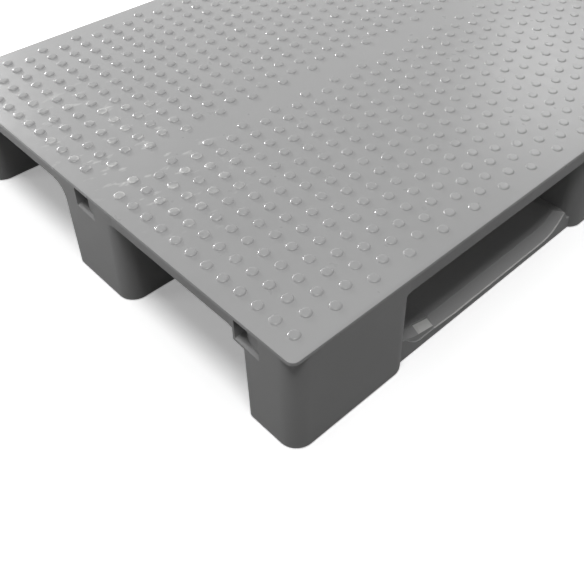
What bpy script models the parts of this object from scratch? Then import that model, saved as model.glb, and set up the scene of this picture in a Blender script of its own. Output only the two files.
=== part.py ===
"""Three-runner plastic pallet with a closed, studded deck.

The pallet is two kinds of moulding. The deck carries nine hollow feet, a skirt, a grid of stiffening
ribs underneath and rows of low studs on top. Three runners are let into the open bottoms of the feet
and cross the side openings as low bars. Units are metres, +Z is up, the long sides run along X, and the
origin is on the ground under the middle of the pallet.
"""

from math import ceil, cos, pi, sin
from typing import NamedTuple

import bmesh
import bpy
from mathutils import Vector

# Overall size
LENGTH = 1.200
WIDTH = 0.800
HEIGHT = 0.160

# Deck sheet and its studs
SHEET = 0.005
SHEET_CORNER_RADIUS = 0.010
SHEET_EDGE_RADIUS = 0.0015
STUD_HEIGHT = 0.0017
STUD_WIDTH = 0.016
STUD_PITCH = 0.030
STUD_MARGIN = 0.030
STUD_LANE = 0.050

# Small steps where parts of the mould meet: sheet to feet, and feet to skirt
PARTING_STEP = 0.0003

# Skirt and stiffening ribs, as depths below the deck's surface
END_SKIRT_DEPTH = 0.0203
SIDE_SKIRT_DEPTH = 0.0243
SKIRT_WALL = 0.0045
RIB_WALL = 0.003
CELL_LIMIT = 0.118

# Feet
END_FOOT_LENGTH = 0.195
MIDDLE_FOOT_LENGTH = 0.078
SIDE_FOOT_WIDTH = 0.096
CENTRE_FOOT_WIDTH = 0.142
FOOT_CORNER_RADIUS = 0.025
FOOT_WALL = 0.005
FOOT_DRAFT = 0.002
FOOT_EDGE_BEVEL = 0.0025

# Hollow rounds where the feet meet the skirt, largest beside a recess
BAY_ROOT_RADIUS = 0.011
FIELD_ROOT_RADIUS = 0.008
RECESS_ROOT_RADIUS = 0.025

# Runners
RUNNER_SETBACK = 0.00875
BAR_HEIGHT = 0.0244
BAR_LIP_HEIGHT = 0.0147
BAR_RAMP_RUN = 0.0127
BAR_END_LIP_HEIGHT = 0.0375
SHOE_HEIGHT = 0.040
END_FOOT_RISE_RUN = 0.055
END_FOOT_RISE_POWER = 1.5
MIDDLE_FOOT_LAND = 0.012
MIDDLE_FOOT_RISE_RUN = 0.035
MIDDLE_FOOT_RISE_POWER = 2.0
RUNNER_CLEARANCE = 0.0003

# Recesses beside the end feet, under the deck sheet
RECESS_LENGTH = 0.041
RECESS_DEPTH = 0.016
RECESS_SHALLOW_DEPTH = 0.004
RECESS_HEIGHT = 0.0295
RECESS_LIP = 0.003
RECESS_WALL = 0.004
SIDE_RECESS_START = 0.055
CENTRE_RECESS_START = 0.053

# Mesh resolution and the overshoot of cutters past the faces that they open
CORNER_STEPS = 2
ROOT_STEPS = 2
RISE_STEPS = 4
OVERSHOOT = 0.001

FOOT_REACH = FOOT_DRAFT + FOOT_WALL + FOOT_CORNER_RADIUS / 2
LINING_SETBACK = PARTING_STEP * 1.5
DECK_TOP = HEIGHT - STUD_HEIGHT
SHEET_BOTTOM = DECK_TOP - SHEET
END_MOUTH = DECK_TOP - END_SKIRT_DEPTH
SIDE_MOUTH = DECK_TOP - SIDE_SKIRT_DEPTH
GREY = (0.40, 0.41, 0.42, 1.0)


WEST, EAST, SOUTH, NORTH = range(4)


class Rect(NamedTuple):
    """A rectangle in plan, with its low and high X and Y."""

    x0: float
    x1: float
    y0: float
    y1: float

    def grown(self, west, east, south, north):
        """The rectangle with each side moved outward by its own amount."""
        return Rect(self.x0 - west, self.x1 + east, self.y0 - south, self.y1 + north)


DECK_EDGE = Rect(-LENGTH / 2, LENGTH / 2, -WIDTH / 2, WIDTH / 2)
PALLET = DECK_EDGE.grown(*[-PARTING_STEP] * 4)
SKIRT = PALLET.grown(*[-PARTING_STEP] * 4)
COLUMNS = (
    (PALLET.x0, PALLET.x0 + END_FOOT_LENGTH),
    (-MIDDLE_FOOT_LENGTH / 2, MIDDLE_FOOT_LENGTH / 2),
    (PALLET.x1 - END_FOOT_LENGTH, PALLET.x1),
)
LANES = {
    "front": (PALLET.y0, PALLET.y0 + SIDE_FOOT_WIDTH),
    "centre": (-CENTRE_FOOT_WIDTH / 2, CENTRE_FOOT_WIDTH / 2),
    "rear": (PALLET.y1 - SIDE_FOOT_WIDTH, PALLET.y1),
}


def inner_sides(rect):
    """1 for each side of the rectangle that faces a fork opening, 0 for one flush with the pallet."""
    return (
        float(rect.x0 > PALLET.x0),
        float(rect.x1 < PALLET.x1),
        float(rect.y0 > PALLET.y0),
        float(rect.y1 < PALLET.y1),
    )


def grown_inside(rect, amount):
    """The rectangle grown only on the sides that face a fork opening."""
    return rect.grown(*(amount * side for side in inner_sides(rect)))


def outline(rect, radius):
    """A rounded rectangle, anticlockwise: each point, its outward normal, and its corner's X and Y side."""
    centres = (
        (rect.x1 - radius, rect.y1 - radius),
        (rect.x0 + radius, rect.y1 - radius),
        (rect.x0 + radius, rect.y0 + radius),
        (rect.x1 - radius, rect.y0 + radius),
    )
    sides = ((EAST, NORTH), (WEST, NORTH), (WEST, SOUTH), (EAST, SOUTH))
    points = []
    for quarter, centre in enumerate(centres):
        for step in range(CORNER_STEPS + 1):
            angle = (quarter + step / CORNER_STEPS) * pi / 2
            normal = Vector((cos(angle), sin(angle)))
            points.append((Vector(centre) + normal * radius, normal, sides[quarter]))
    return points


def ring(rect, radius, level):
    """A rounded outline at one height."""
    return [Vector((*point, level)) for point, normal, sides in outline(rect, radius)]


def root_ring(foot, roots, angle):
    """One ring of the hollow round over a foot, where it has turned by an angle away from upright.

    Each side that faces an opening spreads under the deck on its own radius and ends level with that
    opening's mouth. Round a corner the height passes from one side's to the other's, and beside a flush
    side it stays at the other side's.
    """
    spread = foot.grown(*(root * (1 - cos(angle)) for root in roots))
    points = []
    for point, normal, (side_x, side_y) in outline(spread, FOOT_CORNER_RADIUS):
        height_x = SIDE_MOUTH - roots[side_x] * (1 - sin(angle))
        height_y = END_MOUTH - roots[side_y] * (1 - sin(angle))
        if not roots[side_y]:
            height = height_x
        elif not roots[side_x]:
            height = height_y
        else:
            height = height_x * normal.x**2 + height_y * normal.y**2
        points.append(Vector((*point, height)))
    return points


def add_loft(mesh, rings):
    """Bridge rings of points, each anticlockwise as seen from the last ring's side, into a closed body."""
    loops = [[mesh.verts.new(point) for point in points] for points in rings]
    count = len(loops[0])
    for low, high in zip(loops, loops[1:]):
        for i in range(count):
            j = (i + 1) % count
            mesh.faces.new((low[i], low[j], high[j], high[i]))
    mesh.faces.new(reversed(loops[0]))
    mesh.faces.new(loops[-1])


def add_prism(mesh, rect, radius, low, high):
    """A rounded block from one height to another."""
    add_loft(mesh, [ring(rect, radius, low), ring(rect, radius, high)])


def add_box(mesh, rect, low, high):
    """A plain block, used for ribs and for the cells between them."""
    corners = ((rect.x0, rect.y0), (rect.x1, rect.y0), (rect.x1, rect.y1), (rect.x0, rect.y1))
    add_loft(mesh, [[Vector((x, y, z)) for x, y in corners] for z in (low, high)])


def make_object(name, mesh, material=None):
    """Turn a bmesh into a scene object; one without a material is a construction shape."""
    data = bpy.data.meshes.new(name)
    mesh.to_mesh(data)
    mesh.free()
    body = bpy.data.objects.new(name, data)
    bpy.context.scene.collection.objects.link(body)
    if material is None:
        body.hide_render = True
        body.display_type = "WIRE"
    else:
        data.materials.append(material)
    return body


def combine(body, operation, name, mesh):
    """Add a live Boolean of one construction shape to a body."""
    modifier = body.modifiers.new(name, "BOOLEAN")
    modifier.operation = operation
    modifier.solver = "EXACT"
    modifier.object = make_object(name, mesh)


def plastic(name):
    """Moulded grey polyethylene."""
    material = bpy.data.materials.new(name)
    material.use_nodes = True
    shader = material.node_tree.nodes["Principled BSDF"]
    shader.inputs["Base Color"].default_value = GREY
    shader.inputs["Metallic"].default_value = 0.0
    shader.inputs["Roughness"].default_value = 0.5
    return material


def divided(low, high, wall, limit=CELL_LIMIT):
    """Split a span into equal cells no wider than the limit, with a wall between neighbours."""
    count = max(1, ceil((high - low + wall) / (limit + wall)))
    size = (high - low + wall) / count - wall
    return [(low + i * (size + wall), low + i * (size + wall) + size) for i in range(count)]


def feet():
    """The nine feet in plan."""
    return [Rect(*column, *lane) for lane in LANES.values() for column in COLUMNS]


def foot_hollow(foot):
    """The open inside of a foot in plan, straight walled, so its drafted walls thicken upward."""
    return grown_inside(foot, -FOOT_DRAFT).grown(*[-FOOT_WALL] * 4)


def sheet_mesh():
    """The deck sheet, with square edges eased at the top."""
    mesh = bmesh.new()
    eased = DECK_EDGE.grown(*[-SHEET_EDGE_RADIUS] * 4)
    rings = [
        ring(DECK_EDGE, SHEET_CORNER_RADIUS, SHEET_BOTTOM),
        ring(DECK_EDGE, SHEET_CORNER_RADIUS, DECK_TOP - SHEET_EDGE_RADIUS),
        ring(eased, SHEET_CORNER_RADIUS - SHEET_EDGE_RADIUS, DECK_TOP),
    ]
    add_loft(mesh, rings)
    return mesh


def skirt_mesh():
    """The block under the sheet that the cells are cut from, as deep as the side skirts."""
    mesh = bmesh.new()
    add_prism(mesh, SKIRT, FOOT_CORNER_RADIUS, SIDE_MOUTH, SHEET_BOTTOM + SHEET / 2)
    return mesh


def field_rects():
    """The two fields between the lanes of feet, past both ends of the pallet."""
    edges = [edge for lane in LANES.values() for edge in lane][1:-1]
    ends = (PALLET.x0 - OVERSHOOT, PALLET.x1 + OVERSHOOT)
    return [Rect(*ends, *edges[:2]), Rect(*ends, *edges[2:])]


def field_mesh():
    """What is taken off below the shallower end skirts, all along the two fields."""
    mesh = bmesh.new()
    for field in field_rects():
        add_box(mesh, field, SIDE_MOUTH - OVERSHOOT, END_MOUTH)
    return mesh


def root_radii(foot):
    """Radius of the hollow round on each side of a foot: none where it is flush with the pallet."""
    radii = [BAY_ROOT_RADIUS, BAY_ROOT_RADIUS, FIELD_ROOT_RADIUS, FIELD_ROOT_RADIUS]
    if foot.x0 == PALLET.x0:
        radii[NORTH] = RECESS_ROOT_RADIUS
    if foot.x1 == PALLET.x1:
        radii[SOUTH] = RECESS_ROOT_RADIUS
    return [radius * side for radius, side in zip(radii, inner_sides(foot))]


def feet_mesh():
    """Nine drafted feet with eased bottom edges and a hollow round where they meet the skirt."""
    mesh = bmesh.new()
    for foot in feet():
        base = grown_inside(foot, -FOOT_DRAFT)
        bevelled = base.grown(*[-FOOT_EDGE_BEVEL] * 4)
        roots = root_radii(foot)
        rings = [
            ring(bevelled, FOOT_CORNER_RADIUS - FOOT_EDGE_BEVEL, 0.0),
            ring(base, FOOT_CORNER_RADIUS, FOOT_EDGE_BEVEL),
        ]
        rings.extend(root_ring(foot, roots, step / ROOT_STEPS * pi / 2) for step in range(ROOT_STEPS + 1))
        rings.append(ring(foot.grown(*roots), FOOT_CORNER_RADIUS, SHEET_BOTTOM + SHEET / 4))
        add_loft(mesh, rings)
    return mesh


def cell_spans():
    """The plan of every cell between the ribs, in the fields and between the feet of each lane."""
    inside = SKIRT.grown(*[-SKIRT_WALL] * 4)
    cells = []
    for field in field_rects():
        for span_x in divided(inside.x0, inside.x1, RIB_WALL):
            for span_y in divided(field.y0 + RIB_WALL, field.y1 - RIB_WALL, RIB_WALL):
                cells.append(Rect(*span_x, *span_y))
    for low, high in LANES.values():
        for near, far in zip(COLUMNS, COLUMNS[1:]):
            for span_x in divided(near[1] + RIB_WALL, far[0] - RIB_WALL, RIB_WALL):
                for span_y in divided(max(low, inside.y0), min(high, inside.y1), RIB_WALL):
                    cells.append(Rect(*span_x, *span_y))
    return cells


def cells_mesh():
    """The open cells under the deck sheet."""
    mesh = bmesh.new()
    for cell in cell_spans():
        add_box(mesh, cell, SIDE_MOUTH - OVERSHOOT, SHEET_BOTTOM)
    return mesh


def hollows_mesh():
    """The open insides of the feet, up to the deck sheet."""
    mesh = bmesh.new()
    for foot in feet():
        add_prism(mesh, foot_hollow(foot), FOOT_CORNER_RADIUS - FOOT_WALL, -OVERSHOOT, SHEET_BOTTOM)
    return mesh


def recess_spans():
    """Where the recesses lie along the pallet's low-X end, as the Y of their shallow ends."""
    return (LANES["front"][0] + SIDE_RECESS_START, LANES["centre"][0] + CENTRE_RECESS_START)


def add_recess(mesh, start, wall, front):
    """A wedge in the end face, shallow at one end and deep at the other, with a sloped lower lip.

    A wall above zero gives the same wedge thickened by it, which lines the recess inside the foot.
    """
    low = SHEET_BOTTOM - RECESS_HEIGHT
    high = SHEET_BOTTOM + (SHEET / 2 if wall else 0.0)
    sections = (
        (start - wall, RECESS_SHALLOW_DEPTH + wall, low - 2 * wall),
        (start + RECESS_LENGTH + wall, RECESS_DEPTH + wall, low - wall),
    )
    loops = []
    for y, depth, bottom in sections:
        profile = (
            (-front, high),
            (depth, high),
            (depth, bottom),
            (RECESS_LIP, bottom),
            (-front, bottom - RECESS_LIP),
        )
        loops.append([Vector((PALLET.x0 + x, y, z)) for x, z in profile])
    add_loft(mesh, loops)


def turned(mesh):
    """Add a copy of the whole mesh turned half a turn about the vertical."""
    geometry = mesh.verts[:] + mesh.edges[:] + mesh.faces[:]
    copy = bmesh.ops.duplicate(mesh, geom=geometry)["geom"]
    verts = [item for item in copy if isinstance(item, bmesh.types.BMVert)]
    for vert in verts:
        vert.co.x = -vert.co.x
        vert.co.y = -vert.co.y


def recess_linings_mesh():
    """The walls behind the recesses."""
    mesh = bmesh.new()
    for start in recess_spans():
        add_recess(mesh, start, RECESS_WALL, -LINING_SETBACK)
    turned(mesh)
    return mesh


def recesses_mesh():
    """The recesses themselves."""
    mesh = bmesh.new()
    for start in recess_spans():
        add_recess(mesh, start, 0.0, OVERSHOOT)
    turned(mesh)
    return mesh


def bar_section(x, lane, lift, grow=0.0):
    """One cross-section of a bar: a flat foot, upright lips and ramps up to a flat top.

    The lift goes from 0 along the middle of the bar to 1 where it enters a foot.
    """
    low = lane[0] + RUNNER_SETBACK - grow
    high = lane[1] - RUNNER_SETBACK + grow
    lip = BAR_LIP_HEIGHT + (BAR_END_LIP_HEIGHT - BAR_LIP_HEIGHT) * lift + grow
    top = BAR_HEIGHT + (SHOE_HEIGHT - BAR_HEIGHT) * lift + grow
    bottom = -OVERSHOOT if grow else 0.0
    profile = (
        (low, bottom),
        (high, bottom),
        (high, lip),
        (high - BAR_RAMP_RUN, top),
        (low + BAR_RAMP_RUN, top),
        (low, lip),
    )
    return [Vector((x, y, z)) for y, z in profile]


def rise(foot_edge, away, land, run, power):
    """Stations where a bar rises to a foot, as X and lift, from the foot outwards."""
    stations = [] if land == 0 else [(foot_edge, 1.0)]
    for step in range(RISE_STEPS + 1):
        share = step / RISE_STEPS
        stations.append((foot_edge + away * (land + share * run), (1 - share) ** power))
    return stations


def bars_mesh(lane):
    """The two bars of one runner, which sweep up to shoe height where they enter the feet."""
    mesh = bmesh.new()
    for side in (-1, 1):
        end_foot = side * (PALLET.x1 - END_FOOT_LENGTH)
        middle_foot = side * MIDDLE_FOOT_LENGTH / 2
        stations = [
            (end_foot + side * FOOT_REACH, 1.0),
            *rise(end_foot, -side, 0.0, END_FOOT_RISE_RUN, END_FOOT_RISE_POWER),
            *reversed(rise(middle_foot, side, MIDDLE_FOOT_LAND, MIDDLE_FOOT_RISE_RUN, MIDDLE_FOOT_RISE_POWER)),
            (middle_foot - side * FOOT_REACH, 1.0),
        ]
        add_loft(mesh, [bar_section(x, lane, lift) for x, lift in sorted(stations)])
    return mesh


def bar_seats_mesh():
    """The notches that the ends of the bars enter the feet through, with their clearance."""
    mesh = bmesh.new()
    for lane in LANES.values():
        for near, far in zip(COLUMNS, COLUMNS[1:]):
            for inner, outer in ((near[1] - FOOT_REACH, near[1]), (far[0], far[0] + FOOT_REACH)):
                ends = (inner - RUNNER_CLEARANCE, outer + RUNNER_CLEARANCE)
                add_loft(mesh, [bar_section(x, lane, 1.0, RUNNER_CLEARANCE) for x in ends])
    return mesh


def shoes_mesh(lane):
    """The three blocks of a runner that fill the open bottoms of its feet."""
    mesh = bmesh.new()
    for column in COLUMNS:
        shoe = foot_hollow(Rect(*column, *lane)).grown(*[-RUNNER_CLEARANCE] * 4)
        add_prism(mesh, shoe, FOOT_CORNER_RADIUS - FOOT_WALL - RUNNER_CLEARANCE, 0.0, SHOE_HEIGHT)
    return mesh


def stud_places():
    """Stud centres: columns evenly spread along the deck, alternate ones shifted by half a pitch."""
    span = LENGTH - 2 * STUD_MARGIN
    count = int(span / STUD_PITCH + OVERSHOOT)
    half = (WIDTH - STUD_LANE) / 2
    places = []
    for column in range(count):
        x = -span / 2 + column * span / (count - 1)
        offset = STUD_MARGIN + (STUD_PITCH / 2 if column % 2 else 0.0)
        while offset < half + OVERSHOOT:
            places.extend(((x, offset - WIDTH / 2), (x, WIDTH / 2 - offset)))
            offset += STUD_PITCH
    return places


def studs_mesh():
    """Low anti-slip studs, with few faces each because there are so many of them."""
    mesh = bmesh.new()
    buried = SHEET / 4
    reach = STUD_WIDTH / 2 * (1 + buried / STUD_HEIGHT)
    for x, y in stud_places():
        tip = mesh.verts.new((x, y, HEIGHT))
        base = [
            mesh.verts.new((x + dx * reach, y + dy * reach, DECK_TOP - buried))
            for dx, dy in ((1, 0), (0, 1), (-1, 0), (0, -1))
        ]
        for i in range(4):
            mesh.faces.new((base[i], base[(i + 1) % 4], tip))
        mesh.faces.new(reversed(base))
    return mesh


def build_deck():
    """The deck moulding, with its skirt, ribs, feet, recesses and studs."""
    deck = make_object("deck", sheet_mesh(), plastic("deck"))
    combine(deck, "UNION", "skirt_block", skirt_mesh())
    combine(deck, "DIFFERENCE", "field_cut", field_mesh())
    combine(deck, "DIFFERENCE", "rib_cells", cells_mesh())
    combine(deck, "UNION", "feet", feet_mesh())
    combine(deck, "DIFFERENCE", "foot_hollows", hollows_mesh())
    combine(deck, "UNION", "recess_linings", recess_linings_mesh())
    combine(deck, "DIFFERENCE", "recesses", recesses_mesh())
    combine(deck, "DIFFERENCE", "bar_seats", bar_seats_mesh())
    combine(deck, "UNION", "studs", studs_mesh())
    return deck


def build_runner(name, lane):
    """One runner: three shoes joined by two bars."""
    runner = make_object("runner_" + name, bars_mesh(lane), plastic("runner_" + name))
    combine(runner, "UNION", "shoes_" + name, shoes_mesh(lane))
    return runner


def main():
    """Clear the scene and model the pallet."""
    for item in list(bpy.data.objects):
        bpy.data.objects.remove(item, do_unlink=True)
    build_deck()
    for name, lane in LANES.items():
        build_runner(name, lane)


main()
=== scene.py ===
"""Visual model of a three-runner plastic pallet with a closed, studded deck.

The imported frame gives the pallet's place and outer size. The classes below build the deck moulding and the
runners over it as finely stepped surfaces, dress them in moulded polyethylene, and set up a white studio
with a camera that looks down on one corner. All lengths are in metres unless a name says otherwise.
"""

from __future__ import annotations

import logging
from collections.abc import Sequence
from dataclasses import dataclass
from enum import Enum
from itertools import pairwise
from math import ceil, pi, radians

import bmesh
import bpy
import numpy as np
from mathutils import Matrix, Vector


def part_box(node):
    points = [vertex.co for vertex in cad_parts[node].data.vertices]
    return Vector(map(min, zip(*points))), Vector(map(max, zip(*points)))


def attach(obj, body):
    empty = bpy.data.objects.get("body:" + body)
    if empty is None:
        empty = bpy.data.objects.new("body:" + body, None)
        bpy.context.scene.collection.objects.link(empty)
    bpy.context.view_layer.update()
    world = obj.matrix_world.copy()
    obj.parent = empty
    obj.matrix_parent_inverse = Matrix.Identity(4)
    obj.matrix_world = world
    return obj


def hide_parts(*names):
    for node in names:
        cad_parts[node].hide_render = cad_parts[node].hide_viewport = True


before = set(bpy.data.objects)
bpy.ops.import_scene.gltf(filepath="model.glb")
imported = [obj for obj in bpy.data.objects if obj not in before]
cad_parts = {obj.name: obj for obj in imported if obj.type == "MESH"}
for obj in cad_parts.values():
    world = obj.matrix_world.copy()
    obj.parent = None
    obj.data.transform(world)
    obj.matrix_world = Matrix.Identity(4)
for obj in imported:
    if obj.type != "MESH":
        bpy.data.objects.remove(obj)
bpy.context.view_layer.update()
LOG = logging.getLogger("pallet")
BODY = "root"
WEAR_AND_HIGHLIGHT = "wear_and_highlight"  # the mesh attribute for how much a stud has been rubbed and how much painted highlight a bar's face gets


class WearAndHighlight(Enum):
    """Where a surface has been scraped: nowhere, in short smears or on the studs; the last kind paints
    highlights along the bars' edges instead.
    """

    CLEAN = "clean"
    SMEARED = "smeared"
    RUBBED = "rubbed"
    PAINTED_HIGHLIGHT = "painted_highlight"


# How high a noise has to be before a scrape shows, and how strong the scrape gets within SCRAPE_EDGE.
SCRAPES = {WearAndHighlight.SMEARED: (0.61, 0.6), WearAndHighlight.RUBBED: (0.47, 1.0)}
SCRAPE_EDGE = 0.12
# The deck's top is smoother than the rest, because loads slide over it.
POLISH = {"roughness": 0.30, "specular": 0.5}


def linear(hex_colour: str) -> tuple[float, float, float, float]:
    """Turn an sRGB hex colour into linear RGBA.

    Args:
        hex_colour: Six hex digits after a hash sign.

    Returns:
        Linear red, green, blue and an alpha of one.
    """
    values = [int(hex_colour[i : i + 2], 16) / 255 for i in (1, 3, 5)]
    red, green, blue = (v / 12.92 if v <= 0.04045 else ((v + 0.055) / 1.055) ** 2.4 for v in values)
    return red, green, blue, 1.0


def add_node(
    tree: bpy.types.NodeTree,
    kind: str,
    settings: dict[str, object] | None = None,
    values: dict[str | int, object] | None = None,
    links: dict[str | int, bpy.types.Node | bpy.types.NodeSocket] | None = None,
) -> bpy.types.Node:
    """Add one shader node with its settings, socket values and incoming links.

    Args:
        tree: The node tree to add to.
        kind: The node's type name without the leading ShaderNode.
        settings: Node properties to set.
        values: Socket defaults, by socket name or number.
        links: What feeds this node, by input name or number, where a node stands for its first output.

    Returns:
        The new node.
    """
    node = tree.nodes.new(f"ShaderNode{kind}")
    for name, value in (settings or {}).items():
        setattr(node, name, value)
    for name, value in (values or {}).items():
        node.inputs[name].default_value = value
    for name, source in (links or {}).items():
        output = source.outputs[0] if isinstance(source, bpy.types.Node) else source
        tree.links.new(output, node.inputs[name])
    return node


def lumps(size_mm: float, detail: float) -> dict[str, float]:
    """Socket values of a noise whose lumps have a real size, with some finer octaves."""
    return {"Scale": 1000.0 / size_mm, "Detail": detail, "Roughness": 0.5}


def empty_tree(owner: bpy.types.Material | bpy.types.World) -> bpy.types.NodeTree:
    """Switch on the nodes of a material or world, and take out those that it starts with.

    Args:
        owner: The material or world.

    Returns:
        Its empty node tree.
    """
    owner.use_nodes = True
    owner.node_tree.nodes.clear()
    return owner.node_tree


def add_object(name: str, data: bpy.types.ID) -> bpy.types.Object:
    """Put a new object into the scene, at the origin.

    Args:
        name: Its name.
        data: Its mesh, light or camera.

    Returns:
        The object.
    """
    new = bpy.data.objects.new(name, data)
    bpy.context.scene.collection.objects.link(new)
    return new


@dataclass(frozen=True)
class MouldedPolyethylene:
    """Injection-moulded HDPE: a soft satin sheen, a faint spark-eroded grain and cloudy colour.

    Attributes:
        name: Material name.
        wear: How the surface has been scraped; for the bars, their painted edge highlights instead.
        colour: Body colour.
        cloud_colour: Slightly lighter colour of the flow clouds.
        scuff_and_highlight_colour: Whitened plastic where something has scraped along; on the bars, the
            colour of the painted highlight.
        roughness: Middle of the roughness range.
        roughness_spread: How far the roughness strays to either side.
        specular: Level of the mirror-like part, half being a bare smooth surface.
        grain_mm: Size of the mould grain, drawn about four times as coarse as the real one so that it shows.
        grain_height_mm: Height of the grain.
        grain_strength: Share of that height that shows.
        cloud_mm: Size of the flow clouds.
        sink_mm: Width of the shallow waves that thin flat mouldings cool into.
        sink_height_mm: Height of those waves.
        patch_mm: Size of the scrapes, and of the patches in the bars' painted highlight.
        scuff_centre: Middle of the scraped place on the deck.
        scuff_reach: How far from there scrapes are found along each axis.
        scuff_fade: Shares of that reach at which the first scrapes and all of them are found.
        scuff_turn: Degrees between the scrapes and the pallet's long sides.
        scuff_stretch: Width of a scrape as a share of its length.
        flat_share: Share of the scrapes that the flat top of a stud shows.
        highlight_levels: Levels of a noise at which a bar's painted edge highlight is at its weakest and at
            its strongest.
        highlight_strengths: How strong it is there.
    """

    name: str
    wear: WearAndHighlight
    colour: str = "#a2a2a2"
    cloud_colour: str = "#a8a8a8"
    scuff_and_highlight_colour: str = "#e0e0de"
    roughness: float = 0.5
    roughness_spread: float = 0.06
    specular: float = 0.25
    grain_mm: float = 1.6
    grain_height_mm: float = 0.06
    grain_strength: float = 0.25
    cloud_mm: float = 90.0
    sink_mm: float = 70.0
    sink_height_mm: float = 0.10
    patch_mm: float = 14.0
    scuff_centre: tuple[float, float, float] = (-0.51, 0.04, 0.16)
    scuff_reach: tuple[float, float, float] = (0.13, 0.26, 1.0)
    scuff_fade: tuple[float, float] = (1.1, 0.3)
    scuff_turn: float = 25.0
    scuff_stretch: float = 0.5
    flat_share: float = 0.3
    highlight_levels: tuple[float, float] = (0.3, 0.7)
    highlight_strengths: tuple[float, float] = (0.45, 0.85)

    def scuffs(self, tree: bpy.types.NodeTree, where: bpy.types.NodeSocket) -> bpy.types.Node:
        """Pale scrapes, thickest on the deck near one end.

        The mask falls off smoothly with distance from the scraped place. The scrapes are a noise a little
        stretched along one direction and cut at a high level, which is lower on what stands proud. On the
        studs, only the rims are scraped in full.

        Args:
            tree: The node tree to add to.
            where: Object coordinates.

        Returns:
            How much scraped plastic shows, from zero to one.
        """
        offset = tuple(-c / r for c, r in zip(self.scuff_centre, self.scuff_reach))
        scale = tuple(1 / r for r in self.scuff_reach)
        placed = add_node(tree, "Mapping", None, {"Location": offset, "Scale": scale}, {"Vector": where})
        distance = add_node(tree, "VectorMath", {"operation": "LENGTH"}, links={0: placed}).outputs["Value"]
        fade = dict(zip(("From Min", "From Max"), self.scuff_fade))
        near = add_node(tree, "MapRange", {"interpolation_type": "SMOOTHSTEP"}, fade, {"Value": distance})
        turn, scale = (0.0, 0.0, radians(self.scuff_turn)), (self.scuff_stretch, 1.0, 1.0)
        drawn = add_node(tree, "Mapping", None, {"Rotation": turn, "Scale": scale}, {"Vector": where})
        scratch = add_node(tree, "TexNoise", values=lumps(self.patch_mm, 3.0), links={"Vector": drawn})
        level, strength = SCRAPES[self.wear]
        bounds = {"From Min": level, "From Max": level + SCRAPE_EDGE, "To Max": strength}
        cut = add_node(tree, "MapRange", values=bounds, links={"Value": scratch})
        scrape_and_highlight = add_node(tree, "Math", {"operation": "MULTIPLY"}, links={0: near, 1: cut})
        if self.wear is WearAndHighlight.SMEARED:
            return scrape_and_highlight
        rim = add_node(tree, "Attribute", {"attribute_name": WEAR_AND_HIGHLIGHT}).outputs["Fac"]
        share = add_node(tree, "MapRange", values={"To Min": self.flat_share}, links={"Value": rim})
        return add_node(tree, "Math", {"operation": "MULTIPLY"}, links={0: scrape_and_highlight, 1: share})

    def painted_highlight_mask(self, tree: bpy.types.NodeTree, where: bpy.types.NodeSocket) -> bpy.types.Node:
        """Painted highlight on the bars' edges and pads: the piece's own highlight share times an uneven
        strength.

        Args:
            tree: The node tree to add to.
            where: Object coordinates.

        Returns:
            How much painted highlight shows, from zero to one.
        """
        wear_and_highlight = add_node(tree, "Attribute", {"attribute_name": WEAR_AND_HIGHLIGHT}).outputs["Fac"]
        ends = ("From Min", "From Max", "To Min", "To Max")
        spread = dict(zip(ends, self.highlight_levels + self.highlight_strengths))
        patches = add_node(tree, "TexNoise", values=lumps(self.patch_mm, 2.0), links={"Vector": where})
        uneven = add_node(tree, "MapRange", values=spread, links={"Value": patches})
        return add_node(tree, "Math", {"operation": "MULTIPLY"}, links={0: wear_and_highlight, 1: uneven})

    def build(self) -> bpy.types.Material:
        """Make the material.

        Returns:
            The finished material.
        """
        material = bpy.data.materials.new(self.name)
        tree = empty_tree(material)
        where = add_node(tree, "TexCoord").outputs["Object"]
        colours = {6: linear(self.colour), 7: linear(self.cloud_colour)}
        clouds = add_node(tree, "TexNoise", values=lumps(self.cloud_mm, 3.0), links={"Vector": where})
        colour = add_node(tree, "Mix", {"data_type": "RGBA"}, colours, {0: clouds}).outputs[2]
        if self.wear is not WearAndHighlight.CLEAN:
            # On the bars the pale colour is painted highlight along their edges and pads; elsewhere it is
            # scraped plastic.
            scrape_and_highlight = self.painted_highlight_mask if self.wear is WearAndHighlight.PAINTED_HIGHLIGHT else self.scuffs
            pale, links = {7: linear(self.scuff_and_highlight_colour)}, {0: scrape_and_highlight(tree, where), 6: colour}
            colour = add_node(tree, "Mix", {"data_type": "RGBA"}, pale, links).outputs[2]
        low, high = self.roughness - self.roughness_spread, self.roughness + self.roughness_spread
        satin = add_node(tree, "TexNoise", values=lumps(self.cloud_mm / 4, 2.0), links={"Vector": where})
        sheen = add_node(tree, "MapRange", values={"To Min": low, "To Max": high}, links={"Value": satin})
        waves = add_node(tree, "TexNoise", values=lumps(self.sink_mm, 1.0), links={"Vector": where})
        height = {"Strength": 1.0, "Distance": self.sink_height_mm / 1000}
        sinks = add_node(tree, "Bump", values=height, links={"Height": waves})
        pits = add_node(tree, "TexNoise", values=lumps(self.grain_mm, 2.0), links={"Vector": where})
        height = {"Strength": self.grain_strength, "Distance": self.grain_height_mm / 1000}
        grain = add_node(tree, "Bump", values=height, links={"Height": pits, "Normal": sinks})
        shader = add_node(
            tree,
            "BsdfPrincipled",
            values={"IOR": 1.52, "Metallic": 0.0, "Specular IOR Level": self.specular},
            links={"Base Color": colour, "Roughness": sheen, "Normal": grain},
        )
        add_node(tree, "OutputMaterial", links={"Surface": shader})
        return material


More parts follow.
